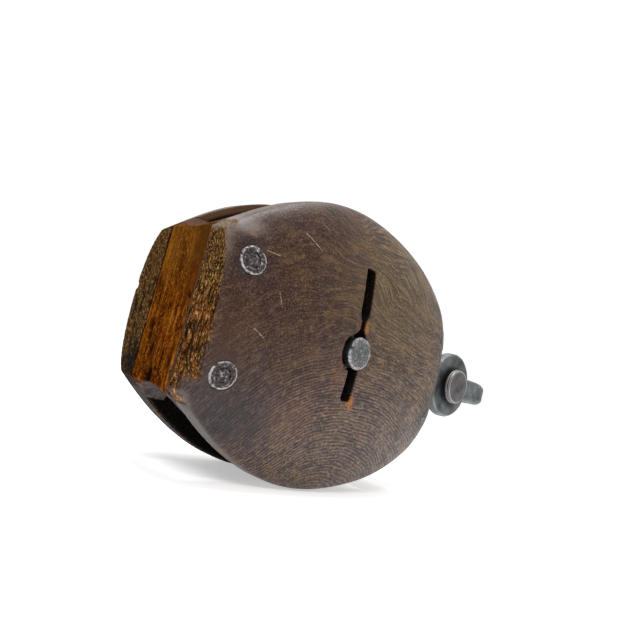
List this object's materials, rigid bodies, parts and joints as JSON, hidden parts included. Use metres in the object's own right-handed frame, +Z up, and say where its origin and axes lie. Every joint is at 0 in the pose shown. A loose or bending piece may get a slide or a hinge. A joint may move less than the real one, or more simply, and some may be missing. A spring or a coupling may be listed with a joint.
{
  "type": "tackle block",
  "caption": "Wooden tackle block: a grooved sheave on a pin between two riveted cheeks, inside iron straps, and a swinging shackle at the crown.",
  "frame": {"origin": "centre of the sheave pin, midway between the two cheeks", "axes": "+X along the block to the crown and the shackle, +Y along the sheave pin to the back cheek, +Z up across the block with it lying on its edge"},
  "size_m": [0.2692, 0.091, 0.15],
  "materials": {
    "cheek_wood": "dark oiled hardwood, worn satin, with growth rings, scratches and rubbed edges",
    "filler_wood": "amber end grain, rough sawn, with dark streaks",
    "sheave_wood": "lignum vitae, waxy and dark",
    "forged_iron": "blue-grey forged iron, satin, rubbed on its edges",
    "worn_steel": "dull grey hammered steel with scratches",
    "bronze": "dull bronze, dark in its recesses"
  },
  "bodies": {
    "shell": {"front_cheek": "cheek_wood", "back_cheek": "cheek_wood", "tail_filler": "filler_wood", "crown_filler": "cheek_wood", "front_strap": "forged_iron", "back_strap": "forged_iron", "strap_spacer": "forged_iron", "sheave_pin": "worn_steel", "pin_key": "worn_steel", "tail_rivet_upper": "worn_steel", "tail_rivet_lower": "worn_steel", "crown_rivet_upper": "worn_steel", "crown_rivet_lower": "worn_steel", "rivet_burrs_front": "worn_steel", "rivet_burrs_back": "worn_steel"},
    "sheave": {"sheave": "sheave_wood", "sheave_bush": "bronze", "bush_plate": "bronze", "bush_rivets": "bronze"},
    "shackle": {"shackle": "forged_iron", "shackle_pin": "worn_steel", "shackle_pin_washer": "worn_steel", "split_pin": "worn_steel"}
  },
  "joints": [
    {"name": "sheave_spin", "type": "hinge", "parent": "shell", "child": "sheave", "pos_m": [0, 0, 0], "axis": [0, 1, 0], "continuous": true},
    {"name": "shackle_swing", "type": "hinge", "parent": "shell", "child": "shackle", "pos_m": [0.116, 0, 0], "axis": [0, 1, 0], "range_deg": [-100, 100]}
  ]
}
